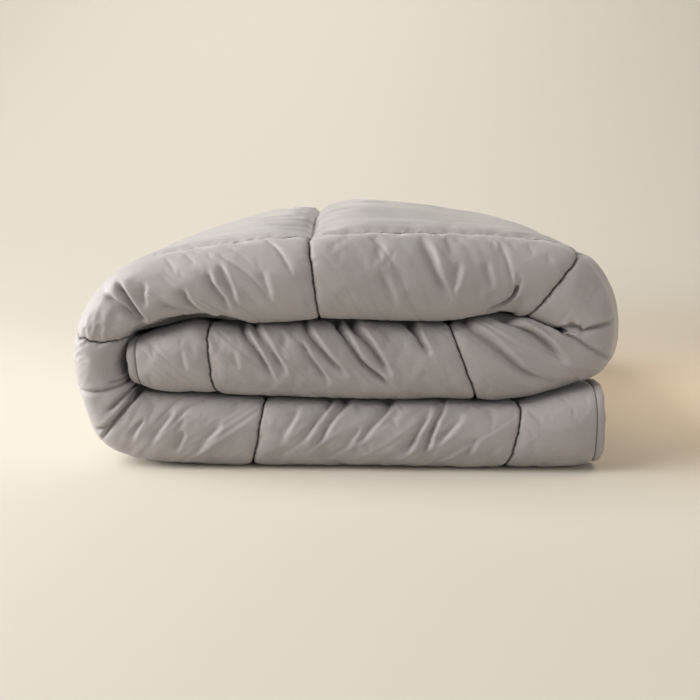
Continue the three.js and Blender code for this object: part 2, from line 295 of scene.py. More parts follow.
# Each line of stitching across: its place on the flat cloth, along the inner and the outer
# face of the folded strip, how far its front is set back, and how far its middle bows along.
RIBS = [
    {"flat": 0, "inner": 5, "outer": 5, "front": 14, "bow": 0},
    {"flat": 100, "inner": 98, "outer": 100, "front": 12, "bow": -3},
    {"flat": 400, "inner": 401, "outer": 429, "front": 8, "bow": 0},
    {"flat": 700, "inner": 592, "outer": 767, "front": 10, "bow": 2},
    {"flat": 1000, "inner": 852, "outer": 1105, "front": 0, "bow": 0},
    {"flat": 1300, "inner": 1097, "outer": 1449, "front": 16, "bow": 4},
    {"flat": 1600, "inner": 1332, "outer": 1799, "front": 6, "bow": 1},
    {"flat": 1900, "inner": 1655, "outer": 2119, "front": -4, "bow": 2},
    {"flat": 2000, "inner": 1751, "outer": 2230, "front": -6, "bow": 0},
]


def smooth_line(points, steps=60):
    """A Catmull-Rom line through the points."""
    p = np.array(points, float)
    last = len(p) - 1
    place = np.linspace(0, last, steps * last + 1)
    i = np.minimum(place.astype(int), last - 1)
    t = (place - i)[:, None]
    before, here = p[np.maximum(i - 1, 0)], p[i]
    ahead, beyond = p[i + 1], p[np.minimum(i + 2, last)]
    start = (ahead - before) / 2
    end = (beyond - here) / 2
    cubic = (2 * here - 2 * ahead + start + end) * t**3
    square = (-3 * here + 3 * ahead - 2 * start - end) * t**2
    return cubic + square + start * t + here


def measured(points):
    """A line of points, and how far along it each lies."""
    p = np.vstack(points)
    steps = np.hypot(*np.diff(p, axis=0).T)
    return p, np.concatenate([[0], np.cumsum(steps)])


def point_at(line, distance):
    """The points of a measured line at some distances along it."""
    points, along = line
    return np.stack([np.interp(distance, along, points[:, k]) for k in (0, 1)], -1)


upper = smooth_line(UPPER_CREASE)
lower = smooth_line(LOWER_CREASE)
half_gap = np.array([0, ROLL_GAP / 2])
around_end = smooth_line([upper[0] + half_gap, *LEFT_INSIDE, lower[0] - half_gap])
around_pile = smooth_line([LOWER_CREASE[-1], *OUTLINE])
inner_face = measured([
    upper - half_gap, upper[-1:] + half_gap[::-1], upper[::-1] + half_gap,
    around_end[1:-1], lower - half_gap, [(BOTTOM_END, 112)],
])
outer_face = measured([lower[:-1] + half_gap, around_pile, [(BOTTOM_END, 0)]])


def rib_curve(column):
    """A curve through a column of RIBS that never turns back between two of them."""
    xs = np.array([r["flat"] for r in RIBS], float)
    ys = np.array([r[column] for r in RIBS], float)
    slopes = np.diff(ys) / np.diff(xs)
    a, b = slopes[:-1], slopes[1:]
    level = a * b <= 0
    inside = np.where(level, 0, 2 * a * b / np.where(level, 1, a + b))
    tangents = np.concatenate([slopes[:1], inside, slopes[-1:]])

    def curve(x):
        i = np.clip(np.searchsorted(xs, x) - 1, 0, len(xs) - 2)
        step = xs[i + 1] - xs[i]
        t = (x - xs[i]) / step
        rise = (3 - 2 * t) * t * t
        ends = tangents[i] * t * (1 - t) ** 2 + tangents[i + 1] * t * t * (t - 1)
        return ys[i] + (ys[i + 1] - ys[i]) * rise + step * ends

    return curve


inner_distance = rib_curve("inner")
outer_distance = rib_curve("outer")
front_setback = rib_curve("front")


def blend(value, low, high):
    """From 0 at low to 1 at high, with no corner at either."""
    t = np.clip((value - low) / (high - low), 0, 1)
    return t * t * (3 - 2 * t)


def crown(point, depth):
    """How far the filling swells the outer face to the right and up."""
    rise = np.interp(point[:, 0], *smooth_line(CROWN).T)
    high = blend(point[:, 1], CROWN_LOW, CROWN_HIGH)
    up = rise * high * blend(depth, CROWN_FRONT, CROWN_FULL)
    up *= 1 - blend(depth, CROWN_FALLS, CROWN_BACK)
    right = blend(point[:, 0], 230, 320) * blend(point[:, 1], 95, 130)
    right = BULGE * right * blend(depth, BULGE_FRONT, BULGE_FULL)
    right *= 1 - blend(depth, BULGE_FALLS, BULGE_BACK)
    return np.stack([right, up], -1)


def in_strip(u, level, depth):
    """A point of the folded strip, from -1 on its inner face to 1 on its outer face."""
    inner = point_at(inner_face, inner_distance(u))
    outer = point_at(outer_face, outer_distance(u))
    way = point_at(inner_face, inner_distance(u) + 4) + point_at(outer_face, outer_distance(u) + 4)
    way = way - inner - outer
    way /= np.maximum(np.hypot(*way.T), 1e-6)[:, None]
    outer += crown(outer, depth)
    p = inner + (outer - inner) * ((level + 1) / 2)[:, None]
    bow = sum(r["bow"] * np.exp(-(((u - r["flat"]) / 60) ** 2)) for r in RIBS)
    p += way * (bow * (1 - level**2) * (1 - blend(depth, 40, 90)))[:, None]
    return np.stack([p[:, 0], depth + front_setback(u), p[:, 1]], -1)


# On the inside of each fold the filling bunches up and fills the hollow, so the front of the
# cloth lies further forward there: its place on the flat cloth and the stretch that it takes.
FOLDS = [
    {"flat": 560, "forward": 22, "reach": 110},
    {"flat": 1430, "forward": 6, "reach": 120},
]

# Equal lengths of cloth round the rounded front, as turns of its squared ellipse.
bends = np.linspace(0, np.pi / 2, 2001)
round_power = 2 / FRONT_POWER
round_front = np.stack([np.sin(bends) ** round_power, 1 - np.cos(bends) ** round_power], -1)
round_length = measured([round_front])[1]


def outer_skin(u, v):
    """The face of the cloth that the half fold leaves outside, as a level and a depth."""
    bend = np.interp(np.minimum(np.abs(v) / FRONT_ARC, 1), round_length / round_length[-1], bends)
    level = np.sign(v) * np.sin(bend) ** round_power
    nose = FRONT_ROUND * (1 - np.abs(np.cos(bend)) ** round_power)
    inside = blend(-v, 15, FRONT_ARC) * (1 - blend(-v, FRONT_ARC, 300))
    filled = sum(f["forward"] * np.exp(-(((u - f["flat"]) / f["reach"]) ** 2)) for f in FOLDS)
    beyond = np.maximum(np.abs(v) - FRONT_ARC, 0)
    to_seam = BOX_WIDTH / 2 - FRONT_ARC
    gathered = GATHERED * (v > 0) * blend(beyond, 0, to_seam)
    gathered *= 1 - blend(beyond, to_seam, GATHERED_BACK)
    gathered *= blend(u, GATHERED_FROM, GATHERED_FULL)
    return level, nose - filled * inside + beyond - gathered


def inner_skin(u, v):
    """The face of the cloth inside the half fold, as a level and a depth."""
    bend = np.minimum(np.abs(v) / FRONT_ARC, 1) * np.pi / 2
    inner = point_at(inner_face, inner_distance(u))
    thickness = np.hypot(*(point_at(outer_face, outer_distance(u)) - inner).T)
    back = FRONT_ROUND + WIDTH / 2 - FRONT_ARC
    flat = np.clip((np.abs(v) - FRONT_ARC) / (WIDTH / 2 - FRONT_ARC), 0, 1)
    depth = FOLD_DEPTH - LAYER_GAP / 2 * np.cos(bend) + (back - FOLD_DEPTH) * flat
    return np.sign(v) * np.sin(bend) * LAYER_GAP / thickness, depth


def skin_point(u, v, skin):
    """Where a place of the flat cloth lies on one of its two faces."""
    level, depth = skin(u, v)
    p = in_strip(u, level, depth)
    p[:, 1] += BACK_OFFSET * v / (WIDTH / 2)
    return p


def fullness(distance, reach):
    """How full the cloth is at a distance from a line that is sewn down, from 0 to 1."""
    return np.sqrt(1 - (1 - np.clip(distance / reach, 0, 1)) ** 2)


def to_stitching(along, box, total):
    """The distance to the nearest line of stitching, one way."""
    t = along - BORDER
    in_box = np.mod(t, box)
    inside = np.minimum(in_box, box - in_box)
    past_last = np.where(along >= total - BORDER, along - total + BORDER, inside)
    return np.where(t <= 0, -t, past_last)


def fill_share(u, v):
    """The filling's thickness at a place, as a share of the full one."""
    across = v + WIDTH / 2
    loose = blend(np.abs(v), TIGHT_FROM, TIGHT_TO)
    least = FRONT_STITCH_SHARE + (STITCH_SHARE - FRONT_STITCH_SHARE) * loose
    reach = FRONT_PUFF_REACH + (PUFF_REACH - FRONT_PUFF_REACH) * loose
    full = least + (1 - least) * fullness(to_stitching(u, BOX_LENGTH, LENGTH), reach)
    loose = blend(np.abs(v), TOP_TIGHT_FROM, TOP_TIGHT_TO)
    least = TOP_STITCH_SHARE + (STITCH_SHARE - TOP_STITCH_SHARE) * loose
    full *= least + (1 - least) * fullness(to_stitching(across, BOX_WIDTH, WIDTH), reach)
    edge = fullness(np.minimum(u, LENGTH - u), EDGE_REACH)
    edge = edge * fullness(np.minimum(across, WIDTH - across), EDGE_REACH)
    return full * (EDGE_SHARE + (1 - EDGE_SHARE) * edge)


def layer(u, v):
    """The outer and inner face of the filled cloth, and the place both are drawn towards."""
    outer = skin_point(u, v, outer_skin)
    inner = skin_point(u, v, inner_skin)
    from_end = blend(np.minimum(u, LENGTH - u), 0, END_REACH)
    from_front = blend(np.abs(v), FRONT_ARC, TIGHT_TO)
    seat = END_SEAT + (0.5 - END_SEAT) * np.maximum(from_end, from_front)
    middle = outer + (inner - outer) * seat[:, None]
    full = fill_share(u, v)[:, None]
    return middle + (outer - middle) * full, middle + (inner - middle) * full, middle


def normals(u, v, skin):
    """The way out of a face, from points of it a little apart."""
    step = 1.5
    along = skin_point(np.minimum(u + step, LENGTH), v, skin)
    along -= skin_point(np.maximum(u - step, 0), v, skin)
    across = skin_point(u, v + step, skin) - skin_point(u, v - step, skin)
    n = np.cross(across, along)
    return n / np.maximum(np.linalg.norm(n, axis=1), 1e-9)[:, None]


# The points of the cloth's faces, closest together on the front and along the first seam of the
# top. A row runs along the cloth at one place across it, and its points lie finest, about 7, 10
# or 20 mm apart.
FINEST = 2.0
COARSEST = 20.0
FRONT_HALF = 88.0  # how far across from its middle the front shows
CREASED_HALF = 92.0  # and how far its creases and its thread run on
TOP_FROM = 420.0  # the stretch of cloth that the top shows
TOP_TO = 1520.0
TOP_BACK = 690.0  # and how far across
SEAMS_ACROSS = [BORDER + BOX_LENGTH * k for k in range(7)]
SEAMS_ALONG = [BOX_WIDTH * (k + 0.5) for k in range(3)]  # each of them to either side


def outer_spacing(u, v):
    """How far apart the points of a row lie on the outer face."""
    side = np.abs(v)
    top = (v > 0) & (u > TOP_FROM) & (u < TOP_TO)
    spacing = np.full(u.shape, COARSEST)
    spacing[(side > TOP_BACK) | ((v < 0) & (u > 1880))] = COARSEST / 2
    spacing[(side > FRONT_HALF) & (side <= 140)] = COARSEST / 2
    spacing[(side > FRONT_HALF) & top] = COARSEST / 3
    spacing[side <= FRONT_HALF] = FINEST
    spacing[(np.abs(v - SEAMS_ALONG[0]) < 10) & top] = FINEST
    return spacing


def inner_spacing(u, v):
    return np.full(u.shape, COARSEST)


def row_places(v, spacing_of):
    """The places of a row's points along the cloth."""
    blocks = np.arange(0, LENGTH, COARSEST)
    spacing = spacing_of(blocks + COARSEST / 2, np.full(blocks.shape, v))
    parts = [b + np.arange(0, COARSEST, s) for b, s in zip(blocks, spacing)]
    fine = set(blocks[spacing == FINEST]) | set(blocks[spacing == FINEST] + COARSEST)
    beside = [seam + s for seam in SEAMS_ACROSS if seam in fine for s in (-1, 1)]
    return np.sort(np.concatenate([*parts, beside, [LENGTH]]))


def graded(low, high, gap, marks, near=(2, 5, 9, 14)):
    """Places from low to high about gap apart, and closer beside the marks."""
    places = set(np.linspace(low, high, max(2, round((high - low) / gap) + 1)))
    for mark in marks:
        if low <= mark <= high:
            clear = near[-1] + gap * 0.4
            beside = {mark + s * d for d in near for s in (-1, 1)}
            places = {p for p in places if abs(p - mark) > clear or p in (low, high)}
            places |= {mark} | {p for p in beside if low < p < high}
    return sorted(places)


front_rows = list(np.linspace(-FRONT_ARC, FRONT_ARC, 65))
edge_rows = [705, 718, 730, 738, 744, 748, 750]
close = (1, 2.5, 5, 9, 14)
first, second, third = SEAMS_ALONG
seen_rows = graded(90, first, 5, [first], close)
seen_rows += graded(first, second, 6.5, [first, second], close)[1:]
seen_rows += graded(second, TOP_BACK, 9, [second, third])[1:] + edge_rows
hidden_rows = graded(95, TOP_BACK, 24, SEAMS_ALONG, (8, 20)) + edge_rows
outer_rows = [-v for v in reversed(hidden_rows)] + front_rows + seen_rows
inner_rows = [-v for v in reversed(hidden_rows)] + [-86, -60, -35, -15, -5, 0, 5, 15, 35, 60, 86]
inner_rows += hidden_rows


def zip_rows(first, second, first_places, second_places):
    """The faces between two rows of points, which need not lie opposite each other."""
    faces = []
    i = j = 0
    while i < len(first) - 1 or j < len(second) - 1:
        ahead_i = first_places[i + 1] if i < len(first) - 1 else np.inf
        ahead_j = second_places[j + 1] if j < len(second) - 1 else np.inf
        if abs(ahead_i - ahead_j) < 1e-6:
            faces.append((first[i], second[j], second[j + 1], first[i + 1]))
            i, j = i + 1, j + 1
        elif ahead_i < ahead_j:
            faces.append((first[i], second[j], first[i + 1]))
            i += 1
        else:
            faces.append((first[i], second[j], second[j + 1]))
            j += 1
    return faces


def sheet_of_rows(rows, spacing_of, start):
    """The flat places of a face's points, its faces, and the points of each row."""
    places, faces, lines = [], [], []
    for v in rows:
        us = row_places(v, spacing_of)
        lines.append((range(start, start + len(us)), us))
        places.append(np.stack([us, np.full(len(us), v)], -1))
        start += len(us)
    for (a, a_places), (b, b_places) in zip(lines, lines[1:]):
        faces += zip_rows(a, b, a_places, b_places)
    return np.vstack(places), faces, lines


outer_flat, outer_faces, outer_lines = sheet_of_rows(outer_rows, outer_spacing, 0)
inner_flat, inner_faces, inner_lines = sheet_of_rows(inner_rows, inner_spacing, len(outer_flat))
(inner_low, inner_low_places), (outer_low, outer_low_places) = inner_lines[0], outer_lines[0]
(inner_high, inner_high_places), (outer_high, outer_high_places) = inner_lines[-1], outer_lines[-1]
edge_faces = zip_rows(inner_low, outer_low, inner_low_places, outer_low_places)
edge_faces += zip_rows(outer_high, inner_high, outer_high_places, inner_high_places)
outer_left = [line[0][0] for line in outer_lines]
outer_right = [line[0][-1] for line in outer_lines]
inner_left = [line[0][0] for line in inner_lines]
inner_right = [line[0][-1] for line in inner_lines]
edge_faces += zip_rows(outer_left, inner_left, outer_rows, inner_rows)
edge_faces += zip_rows(inner_right, outer_right, inner_rows, outer_rows)
inside_faces = [tuple(reversed(f)) for f in inner_faces] + edge_faces

# The creases of the front, where the folded cloth is squeezed, by the roll or fold that they are
# on. Each has its depth, the height of the ridge beside it, on its right or, below 0, on its
# left, how wide both are beside a common crease's, how much it fades out at its first and its
# last point, and its path, seen from the front. ROLLS gives the stretch of the flat cloth that
# each roll or fold shows.
ROLLS = {
    "top": (660, 1325),
    "pocket": (640, 900),
    "right fold": (420, 760),
    "middle": (0, 560),
    "middle right": (300, 720),
    "left fold": (1300, 1570),
    "bottom": (1440, 2000),
}
CREASES = {
    "top": [
        # on its left
        {"depth": 9, "ridge": 2.5, "width": 0.8, "fades": (1, 0),
         "path": [(-283, 240), (-271, 222), (-259, 204), (-249, 189)]},
        {"depth": 8, "ridge": 2.5, "width": 0.8, "fades": (1, 0),
         "path": [(-301, 227), (-289, 218), (-276, 209), (-263, 197), (-252, 187)]},
        {"depth": 11, "ridge": 0.1, "width": 1.2, "fades": (1, 1),
         "path": [(-280, 166), (-260, 175), (-235, 181), (-205, 186), (-165, 188), (-110, 185)]},
        {"depth": 3, "ridge": 2.5, "width": 0.8, "fades": (1, 1),
         "path": [(-245, 238), (-248, 221), (-245, 204)]},
        {"depth": 4.5, "ridge": 2, "width": 1, "fades": (1, 0),
         "path": [(-232, 216), (-208, 202), (-185, 196), (-169, 192)]},
        {"depth": 4.5, "ridge": 2.5, "width": 1, "fades": (1, 0),
         "path": [(-199, 234), (-194, 216), (-182, 202), (-166, 192)]},
        {"depth": 4.5, "ridge": 3, "width": 1, "fades": (1, 1),
         "path": [(-169, 257), (-161, 234), (-149, 218), (-139, 198)]},
        {"depth": 4, "ridge": 2.5, "width": 0.9, "fades": (1, 1),
         "path": [(-155, 264), (-144, 241), (-137, 225), (-131, 207)]},
        {"depth": 2.5, "ridge": 2, "width": 1.1, "fades": (1, 1),
         "path": [(-102, 254), (-95, 234), (-90, 214)]},
        # on its right
        {"depth": 3, "ridge": 1.5, "width": 1.2, "fades": (1, 1),
         "path": [(40, 254), (52, 232), (64, 206)]},
        {"depth": 5, "ridge": 3, "width": 1.2, "fades": (1, 1),
         "path": [(90, 292), (103, 274), (110, 251), (120, 232), (136, 213)]},
        {"depth": 3, "ridge": 2.5, "width": 1.1, "fades": (1, 1),
         "path": [(140, 266), (134, 244), (132, 228), (140, 214)]},
        {"depth": 2.5, "ridge": 2, "width": 1, "fades": (1, 1),
         "path": [(170, 264), (174, 246), (180, 228)]},
    ],
    "pocket": [
        {"depth": 13, "ridge": -2.5, "width": 0.38, "fades": (0, 0),
         "path": [(180, 201), (190, 206), (200, 213), (207, 221), (211, 231)]},
        {"depth": 1, "ridge": -2, "width": 0.7, "fades": (1, 1),
         "path": [(208, 252), (212, 243), (214, 234)]},
    ],
    "right fold": [
        {"depth": 7, "ridge": 2, "width": 0.5, "fades": (0.7, 0),
         "path": [(262, 180), (275, 182), (288, 183), (293, 179), (305, 183), (330, 188)]},
        {"depth": 4, "ridge": 1.5, "width": 0.5, "fades": (0, 1),
         "path": [(276, 186), (281, 186), (286, 182)]},
        {"depth": 5, "ridge": 1.5, "width": 0.5, "fades": (1, 0),
         "path": [(256, 182), (264, 179), (284, 169), (302, 157), (316, 149), (332, 141)]},
    ],
    "middle": [
        {"depth": 1, "ridge": 1, "width": 0.9, "fades": (1, 1),
         "path": [(-205, 156), (-201, 140), (-196, 124)]},
        {"depth": 1.5, "ridge": 1.5, "width": 0.8, "fades": (1, 1),
         "path": [(-139, 154), (-132, 128)]},
        {"depth": 7.5, "ridge": 5, "width": 0.9, "fades": (0.4, 1),
         "path": [(-133, 184), (-115, 161), (-102, 140), (-86, 112)]},
        {"depth": 5, "ridge": 4.5, "width": 0.8, "fades": (0.4, 1),
         "path": [(-117, 184), (-101, 166), (-87, 147), (-69, 117)]},
        {"depth": 5, "ridge": 3.5, "width": 0.8, "fades": (1, 1),
         "path": [(-57, 171), (-45, 147), (-33, 130), (-17, 107)]},
        {"depth": 8, "ridge": 5, "width": 0.9, "fades": (0.4, 1),
         "path": [(-50, 183), (-33, 159), (-17, 140), (8, 118)]},
        {"depth": 9.5, "ridge": 4.5, "width": 0.9, "fades": (0, 1),
         "path": [(-14, 191), (-2, 176), (9, 157), (20, 140), (34, 127), (50, 114), (70, 98)]},
        {"depth": 8.5, "ridge": 5, "width": 0.9, "fades": (0, 1),
         "path": [(2, 192), (24, 169), (41, 145), (60, 119)]},
        {"depth": 2.5, "ridge": 2, "width": 0.8, "fades": (1, 1),
         "path": [(4, 148), (24, 125), (41, 109), (59, 92)]},
        {"depth": 8, "ridge": 4.5, "width": 0.8, "fades": (0, 1),
         "path": [(71, 191), (88, 178), (95, 164), (108, 146)]},
    ],
    "middle right": [
        {"depth": 9, "ridge": 6, "width": 1.3, "fades": (0.6, 1),
         "path": [(150, 186), (179, 164), (201, 145), (221, 128), (245, 116), (270, 108)]},
        {"depth": 10, "ridge": 6, "width": 1.1, "fades": (0.5, 1),
         "path": [(174, 201), (204, 192), (228, 178), (248, 164), (265, 147), (280, 134)]},
    ],
    "left fold": [
        {"depth": 4.5, "ridge": 2, "width": 0.5, "fades": (1, 0),
         "path": [(-346, 104), (-325, 100), (-306, 102), (-288, 107), (-268, 114), (-255, 116)]},
        {"depth": 2.5, "ridge": 1.5, "width": 0.5, "fades": (1, 1),
         "path": [(-298, 112), (-284, 115), (-268, 117)]},
        {"depth": 7, "ridge": 2, "width": 0.5, "fades": (1, 0),
         "path": [(-323, 52), (-306, 53), (-290, 66), (-273, 87), (-254, 112)]},
        {"depth": 9, "ridge": 2, "width": 0.45, "fades": (0.8, 0),
         "path": [(-311, 35), (-304, 45), (-288, 66), (-268, 90), (-251, 111)]},
        {"depth": 6, "ridge": 1.5, "width": 0.5, "fades": (1, 0),
         "path": [(-300, 74), (-281, 93), (-258, 110)]},
    ],
    "bottom": [
        {"depth": 2.5, "ridge": 2.5, "width": 0.9, "fades": (1, 1),
         "path": [(-251, 69), (-263, 52), (-271, 38)]},
        {"depth": 3, "ridge": 2.5, "width": 0.9, "fades": (1, 1),
         "path": [(-213, 79), (-227, 60), (-248, 34)]},
        {"depth": 2.5, "ridge": 2, "width": 0.9, "fades": (1, 1),
         "path": [(-200, 52), (-217, 23)]},
        {"depth": 2.5, "ridge": 2.5, "width": 1.1, "fades": (1, 1),
         "path": [(-151, 66), (-175, 40), (-194, 18)]},
        {"depth": 2.5, "ridge": 2, "width": 0.9, "fades": (1, 1),
         "path": [(-57, 83), (-69, 60), (-83, 40)]},
        {"depth": 4, "ridge": 2.5, "width": 0.9, "fades": (1, 1),
         "path": [(-8, 92), (-29, 74), (-46, 52), (-59, 33)]},
        {"depth": 4, "ridge": 2.5, "width": 0.9, "fades": (1, 1),
         "path": [(22, 94), (-5, 79), (-24, 55), (-39, 30)]},
        {"depth": 2.5, "ridge": 2, "width": 0.9, "fades": (1, 1),
         "path": [(22, 60), (-2, 31)]},
        {"depth": 4.5, "ridge": 3, "width": 0.9, "fades": (0, 1),
         "path": [(78, 94), (53, 79), (34, 60), (13, 35)]},
        {"depth": 4.5, "ridge": 3, "width": 0.9, "fades": (1, 1),
         "path": [(111, 85), (96, 62), (84, 42), (70, 20)]},
        {"depth": 5, "ridge": 3, "width": 0.9, "fades": (1, 1),
         "path": [(131, 90), (113, 65), (104, 42), (94, 18)]},
        {"depth": 3, "ridge": 2.5, "width": 0.9, "fades": (1, 1),
         "path": [(150, 74), (132, 57), (110, 34)]},
        {"depth": 2, "ridge": 1.5, "width": 0.9, "fades": (1, 1),
         "path": [(165, 46), (144, 14)]},
    ],
}


def to_path(points, path):
    """How far points lie from a path, above 0 on its right, and how far along it, from 0 to 1."""
    path = smooth_line(path, 8)
    steps = np.hypot(*np.diff(path, axis=0).T)
    along = np.concatenate([[0], np.cumsum(steps)])
    nearest = np.full(len(points), 1e9)
    side = np.zeros(len(points))
    place = np.zeros(len(points))
    for k, (start, end) in enumerate(zip(path, path[1:])):
        way = (end - start) / steps[k]
        t = np.clip((points - start) @ way, 0, steps[k])
        off = points - start - t[:, None] * way
        gap = np.hypot(*off.T)
        closer = gap < nearest
        nearest = np.where(closer, gap, nearest)
        side = np.where(closer, np.sign(off[:, 1] * way[0] - off[:, 0] * way[1]), side)
        place = np.where(closer, along[k] + t, place)
    return nearest * side, place / along[-1]


def crease_shape(points, u, v, sharp):
    """How far the creases move each point out; below 0 is in. Not sharp is a softened guide."""
    out = np.zeros(len(points))
    deep = np.zeros(len(points))
    front = np.flatnonzero(np.abs(v) < CREASED_HALF)
    for roll, (low, high) in ROLLS.items():
        on_roll = front[(u[front] > low) & (u[front] < high)]
        for crease in CREASES[roll]:
            gap, place = to_path(points[on_roll][:, [0, 2]], crease["path"])
            near = np.abs(gap) < 60
            some, gap, place = on_roll[near], gap[near], place[near]
            fade_in, fade_out = crease["fades"]
            strength = 1 - fade_in * (1 - blend(place, 0, 0.25))
            strength = strength * (1 - fade_out * blend(place, 0.68, 1))
            gap = gap * np.sign(crease["ridge"]) / crease["width"]
            if sharp:
                gentle = np.exp(-np.abs(gap) / 6)
                steep = np.exp(-((np.abs(gap) / 2.6) ** 1.4))
                trough = strength * crease["depth"] * np.where(gap < 0, gentle, steep)
                ridge = 0.65 * np.exp(-(((gap - 6.5) / 4.2) ** 2))
                ridge += 0.35 * np.exp(-(((gap - 14) / 8) ** 2))
                out[some] += 0.75 * strength * abs(crease["ridge"]) * ridge
            else:
                trough = strength * crease["depth"] * 0.4 * np.exp(-((gap / 5) ** 2))
            deep[some] = np.maximum(deep[some], trough)
    return out * np.exp(-deep / 3) - deep


def soft_noise(a, b, seed):
    """Smooth uneven values from -1 to 1, which change over about 1 of a and of b."""
    lattice = np.random.default_rng(seed).uniform(-1, 1, (64, 64))
    i, j = np.floor(a).astype(int), np.floor(b).astype(int)
    s, t = blend(a - i, 0, 1), blend(b - j, 0, 1)
    near = lattice[i % 64, j % 64] * (1 - s) + lattice[(i + 1) % 64, j % 64] * s
    far = lattice[i % 64, (j + 1) % 64] * (1 - s) + lattice[(i + 1) % 64, (j + 1) % 64] * s
    return near * (1 - t) + far * t


# Where the squeezed cloth ripples between the creases: the middle of the patch on the flat
# cloth, how far it reaches along and across, and how high the ripples are. RIPPLE raises all.
RIPPLE = 1.4
RIPPLED = [
    {"flat": (240, 0), "reach": (150, 90), "height": 1.5},
    {"flat": (490, 0), "reach": (80, 90), "height": 1.3},
    {"flat": (1770, 5), "reach": (130, 80), "height": 2.0},
    {"flat": (1530, -10), "reach": (60, 80), "height": 1.4},
    {"flat": (1180, -40), "reach": (110, 50), "height": 1.6},
    {"flat": (850, -10), "reach": (80, 60), "height": 1.5},
    {"flat": (1400, -40), "reach": (90, 60), "height": 0.8},
    {"flat": (50, 0), "reach": (40, 60), "height": 0.7},
]


def pulled_ripples(u, v):
    """The soft ripples between the creases, which lean with them, in millimetres out."""
    lean = 0.85 - 0.35 * blend(u, 560, 640) - 1.45 * blend(u, 1380, 1560)
    across = u - lean * v + 6 * soft_noise(u / 60, v / 60, 6)
    folds = np.abs(soft_noise(across / 15, v / 110, 3)) ** 0.8 - 0.4
    folds += 0.2 * soft_noise(across / 8, v / 80 + 5, 4)
    height = np.full(len(u), 0.25)
    for patch in RIPPLED:
        (along, side), (far_along, far_side) = patch["flat"], patch["reach"]
        away = ((u - along) / far_along) ** 4 + ((v - side) / far_side) ** 4
        height += patch["height"] * np.exp(-away)
    front = RIPPLE * folds * height * (1 - blend(np.abs(v), 84, 110))
    bands = soft_noise(u / 170, (v + 10 * soft_noise(u / 90, v / 90, 13)) / 17, 14)
    bands += 0.5 * soft_noise(u / 80, v / 11, 15)
    on_top = blend(v, 118, 145) * blend(u, 600, 700) * (1 - blend(u, 1340, 1440))
    return front + bands * on_top


GROOVE = 3.6  # how deep the cloth is drawn in on the stitching
PUCKER = 0.8  # how high the puckers beside it are


def stitch_groove(u, v):
    """How far the stitching draws the cloth in right beside it, in small uneven puckers."""
    inside = (u > BORDER - 1) & (u < LENGTH - BORDER + 1) & (np.abs(v) < WIDTH / 2 - BORDER + 1)
    groove = np.zeros(len(u))
    lines = [(u, v, seam) for seam in SEAMS_ACROSS]
    lines += [(v, u, side * seam) for seam in SEAMS_ALONG for side in (-1, 1)]
    for across, along, line in lines:
        gap = np.abs(across - line)
        wave = np.sin(along / 1.45 + 2.1 * np.sin(along / 17 + line) + line)
        wave += 0.7 * np.sin(along / 2.6 + 3 * np.sin(along / 29) + 2 * line)
        uneven = 0.75 + 0.45 * soft_noise(along / 25, along * 0 + line / 130, 12)
        drawn = GROOVE * np.exp(-((gap / 1.6) ** 2))
        drawn += PUCKER * uneven * wave * np.exp(-gap / 6) * (gap > 0.7)
        groove += np.where(inside & (gap < 40), drawn, 0)
    return groove


WANDERING = (1.2, 0.6, 0.9, 0.6, 2.8, 0.6, 0.8)  # the most on each seam across


def wandering(u, v):
    """How far along the cloth the squeezed stitching leaves its straight line."""
    moved = np.zeros(len(u))
    for k, (seam, most) in enumerate(zip(SEAMS_ACROSS, WANDERING)):
        uneven = soft_noise(v / 12 + 40, v * 0 + 3 * k, 9)
        uneven += 0.4 * soft_noise(v / 6 + 40, v * 0 + 3 * k, 10)
        moved += most * uneven * np.exp(-(((u - seam) / 9) ** 2))
    return moved * (1 - blend(np.abs(v), 70, 100))


u, v = outer_flat.T
outer_points = layer(u, v)[0]
outward = normals(u, v, outer_skin)
smooth_points = outer_points.copy()
onward = skin_point(np.minimum(u + 2, LENGTH), v, outer_skin)
onward -= skin_point(np.maximum(u - 2, 0), v, outer_skin)
onward /= np.linalg.norm(onward, axis=1)[:, None]
guide = crease_shape(smooth_points, u, v, sharp=False) + pulled_ripples(u, v)
outer_points += outward * guide[:, None]
outer_points += onward * wandering(u, v)[:, None]
inner_points = layer(*inner_flat.T)[1]

# The filling presses the panel out between its stitching and its creases, and the panel is a
# little larger than what it covers, so it buckles softly. Only the part that shows is pressed.
PRESSURE = 3.0
EASE = 0.012  # how much larger the panel is
FRAMES = 14
SHEAR = 0.14  # how far the rolls pull the panel askew
MOST = 6.0  # how far a point may move


def held_places(u, v):
    """How firmly the stitching and the neighbouring rolls hold each point, from 0 to 1."""
    on_top = (v > 0) & (u > 560) & (u < 1340)
    held = np.where(on_top, 0, blend(np.abs(v), 60, 84))
    seam_u = to_stitching(u, BOX_LENGTH, LENGTH)
    seam_v = to_stitching(v + WIDTH / 2, BOX_WIDTH, WIDTH)
    held = np.maximum(held, (seam_u < 1.3) & (u > 50) & (u < LENGTH - 50))
    held = np.maximum(held, seam_v < 0.5)
    held = np.maximum(held, (u < 3) | (u > LENGTH - 3))
    return held


def sheared(points, u, v):
    """Where the points would lie if the rolls did not pull the panel askew."""
    lean = SHEAR * (1 - 2 * blend(u, 1400, 1560))
    return points - onward * (lean * np.clip(v, -95, 95))[:, None]


